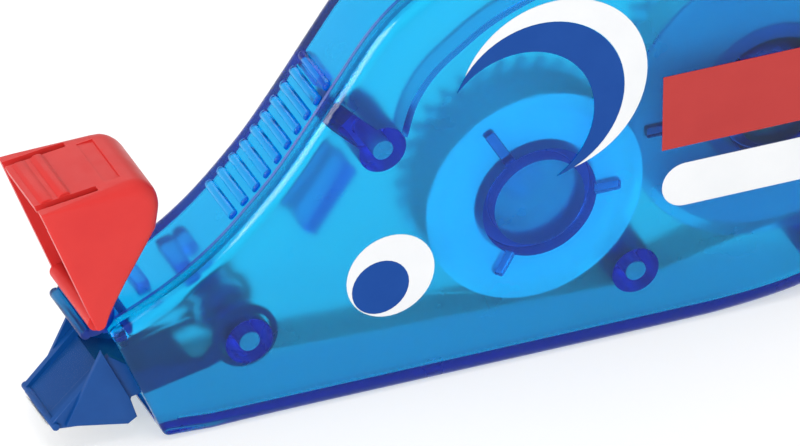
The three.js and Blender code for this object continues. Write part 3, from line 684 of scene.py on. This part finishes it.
HOLLOW = [(-60, 8.75), (-46.9, 8.75), (-46.2, 8.93), (-38.4, 9.92), (-37.7, 9.85), (-37.0, 9.4), (-36.45, 8.6), (-36.25, 7.9), (-36.3, 7.2),
          (-36.55, 5.95), (-39.35, 1.25), (-41.05, -1.65), (-41.05, -6), (-60, -6)]


def cap_line(x, up):
    return (x, 9.75 + (x - CAP_A[0]) * (CAP_TOP[1] - CAP_A[1]) / (CAP_TOP[0] - CAP_A[0]) + up)


def ridge(x0, x1, h):
    return prism([cap_line(x0, -0.2), cap_line(x1, -0.2), cap_line(x1, h * 0.15), cap_line(x1 - 0.3, h * 0.9), cap_line(x1 - 0.45, h), cap_line(x0 + 0.45, h),
                  cap_line(x0 + 0.3, h * 0.9), cap_line(x0, h * 0.15)], 1.8, THICK - 1.8, 0.08, 0.08, 0)


cap_steps = [(DIFF, prism(HOLLOW, CAP_WALL, THICK - CAP_WALL, 0.35, 0.35)), (DIFF, disc(HINGE, 2.3, CAP_WALL, THICK - CAP_WALL)),
             (U, disc(HINGE, BARREL_R, CAP_WALL - 0.2, THICK - CAP_WALL + 0.2, n=40, mat=0))]
for d0, d1 in ((0.95, 1.7), (THICK - 1.7, THICK - 0.95)):
    cap_steps.append((DIFF, prism([(-48, 8.0), (-41.0, 9.2), (-40.7, 10.0), (-41.2, 11.4), (-48, 11.4)], d0, d1)))
cap_steps += [(U, ridge(-46.0, -44.75, 0.16)), (U, ridge(-44.3, -43.1, 0.3)),
              (DIFF, prism([cap_line(-40.0, -0.06), cap_line(-38.55, -0.16), cap_line(-38.3, 0.8), cap_line(-40.0, 0.8)], 1.9, THICK - 1.9))]
cap = boolean(loft(rings, 0), cap_steps, "flip_cap", [MATS["cap_red"]], "cap", 30.0)
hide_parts("tip_cap")

# ------------------------------------------------------------------ applicator tip
TIP_HALF, MID = 3.75, THICK / 2
SIDE = [(-43.95, -12.0), (-44.9, -13.0), (-44.7, -13.7), (-43.7, -13.8), (-38.2, -14.3), (-37.5, -12.1), (-30.2, -10.6), (-30.2, -9.75), (-37.0, -9.3), (-39.6, -7.4)]
PAD = [(-40.45, -6.5), (-43.75, -13.45), (-37.95, -14.6), (-37.1, -14.05), (-37.75, -12.0)]
ARM = [(-30.9, -9.7), (-30.9, -10.75), (-29.3, -10.25), (-29.9, -8.6)]
BLADE = [(-44.85, -13.3), (-44.3, -12.9), (-40.1, -8.9), (-37.2, -9.95), (-31.6, -10.0), (-31.6, -10.45), (-37.4, -11.35), (-40.6, -11.6), (-44.5, -13.65)]


def both(pts, d0, d1, e0, e1):
    return [(U, prism(pts, d0, d1, e0, e1, 0)), (U, prism(pts, THICK - d1, THICK - d0, e1, e0, 0))]


lo_d = MID - TIP_HALF
tip_steps = both(PAD, lo_d, lo_d + 0.36, 0.1, 0) + both(ARM, lo_d + 0.35, lo_d + 0.95, 0.06, 0.06)[0:2] + both(SIDE, lo_d + 0.35, lo_d + 0.95, 0.08, 0.0)
for d0, d1 in ((lo_d + 0.35, lo_d + 0.95), (THICK - lo_d - 0.95, THICK - lo_d - 0.35)):
    tip_steps.append((U, tube(POSTS[0], 3.0, POST_RADII[0] + 0.25, d0, d1, 0.08, 64, 0)))
tip_steps.append((U, disc((-44.65, -13.35), 0.36, lo_d + 0.05, THICK - lo_d - 0.05, 0.1, 0.1, 24, 0)))
tip = boolean(prism(BLADE, lo_d + 0.6, THICK - lo_d - 0.6, 0, 0, 0), tip_steps, "nib_tip", [MATS["tip_blue"]], "casing", 30.0)
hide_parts("applicator_tip")

# ------------------------------------------------------------------ spools, turned smooth
piece(lathe(REAR_HUB, round_profile([(6.1, 2.95), (5.75, 2.95), (5.75, 3.8), (6.1, 3.8), (6.1, 7.25), (7.0, 7.25), (7.0, 2.95)], 0.1), 96),
      "supply_spool_core", MATS["spool_blue"], "supply_spool", "supply_core")
piece(tube(REAR_HUB, 14.1, 5.9, 2.5, 2.85, 0.1, 128), "supply_spool_flange", MATS["flange_blue"], "supply_spool", "supply_flange")
piece(tube(REAR_HUB, 13.1, 7.15, 3.0, 7.2, 0.08, 128), "wound_tape", MATS["tape_wound"], "supply_spool", "tape_roll")
piece(lathe(FRONT_HUB, round_profile([(7.5, 2.4), (7.5, 4.1), (0.02, 4.1), (0.02, 4.7), (3.85, 4.7), (3.85, 7.25), (4.6, 7.25), (4.6, 4.7), (7.5, 4.7), (7.5, 7.25), (8.5, 7.25), (8.5, 2.4)], 0.1), 96),
      "takeup_spool_core", MATS["takeup_core"], "takeup_spool", "takeup_core")
piece(lathe(FRONT_HUB, round_profile([(5.75, 2.02), (7.7, 2.02), (7.9, 1.92), (10.2, 1.92), (10.2, 2.26), (8.1, 2.26), (7.9, 2.36), (5.75, 2.36)], 0.06), 128),
      "takeup_spool_flange", MATS["takeup_pale"], "takeup_spool", "takeup_flange")
piece(tube(FRONT_HUB, 9.9, 8.65, 3.0, 7.2, 0.08, 128), "wound_film", MATS["film_wound"], "takeup_spool", "film_roll")

# ------------------------------------------------------------------ floor, world and lights
floor_mesh = bpy.data.meshes.new("floor")
F = 3.0
floor_mesh.from_pydata([(-F, -F, 0), (F, -F, 0), (F, F, 0), (-F, F, 0)], [], [(0, 1, 2, 3)])
floor = bpy.data.objects.new("floor", floor_mesh)
floor.location = (0, 0, cad_lo.z - 0.00002)
scene.collection.objects.link(floor)
fm = Mat("floor_white")
fm.link(fm.colours(fm.noise(2.0), (0.60, 0.60, 0.60), (0.62, 0.62, 0.62)), fm.b.inputs["Base Color"])
fm.b.inputs["Emission Color"].default_value = (1, 1, 1, 1)
fm.b.inputs["Emission Strength"].default_value = 0.42
fm.b.inputs["Specular IOR Level"].default_value = 0.1
fm.b.inputs["Roughness"].default_value = 0.9
floor_mesh.materials.append(fm.m)

w = bpy.data.worlds.new("world")
scene.world = w
w.use_nodes = True
w.node_tree.nodes["Background"].inputs[0].default_value = (1, 1, 1, 1)
w.node_tree.nodes["Background"].inputs[1].default_value = 0.8


def area(name, loc, aim, size, watts, colour=(1, 1, 1)):
    d = bpy.data.lights.new(name, "AREA")
    d.shape = "RECTANGLE"
    d.size, d.size_y = size
    d.energy = watts
    d.color = colour
    o = bpy.data.objects.new(name, d)
    o.location = loc
    o.rotation_mode = "QUATERNION"
    o.rotation_quaternion = (Vector(aim) - Vector(loc)).to_track_quat("-Z", "Y")
    scene.collection.objects.link(o)
    return o


area("front_left", (-0.62, -0.50, 0.27), (0, 0, 0.02), (0.34, 0.34), 4.2)
area("top", (-0.15, -0.15, 0.85), (0, 0, 0.02), (0.4, 0.4), 1.2)
area("back", (0.15, 0.6, 0.55), (0, 0, 0.02), (0.5, 0.3), 0.8)

scene.view_settings.view_transform = "Standard"
scene.view_settings.look = "None"
scene.cycles.use_denoising = True
scene.cycles.max_bounces = 32
scene.cycles.transmission_bounces = 28
scene.cycles.glossy_bounces = 8
scene.cycles.diffuse_bounces = 4
scene.cycles.transparent_max_bounces = 16
scene.cycles.sample_clamp_indirect = 6.0
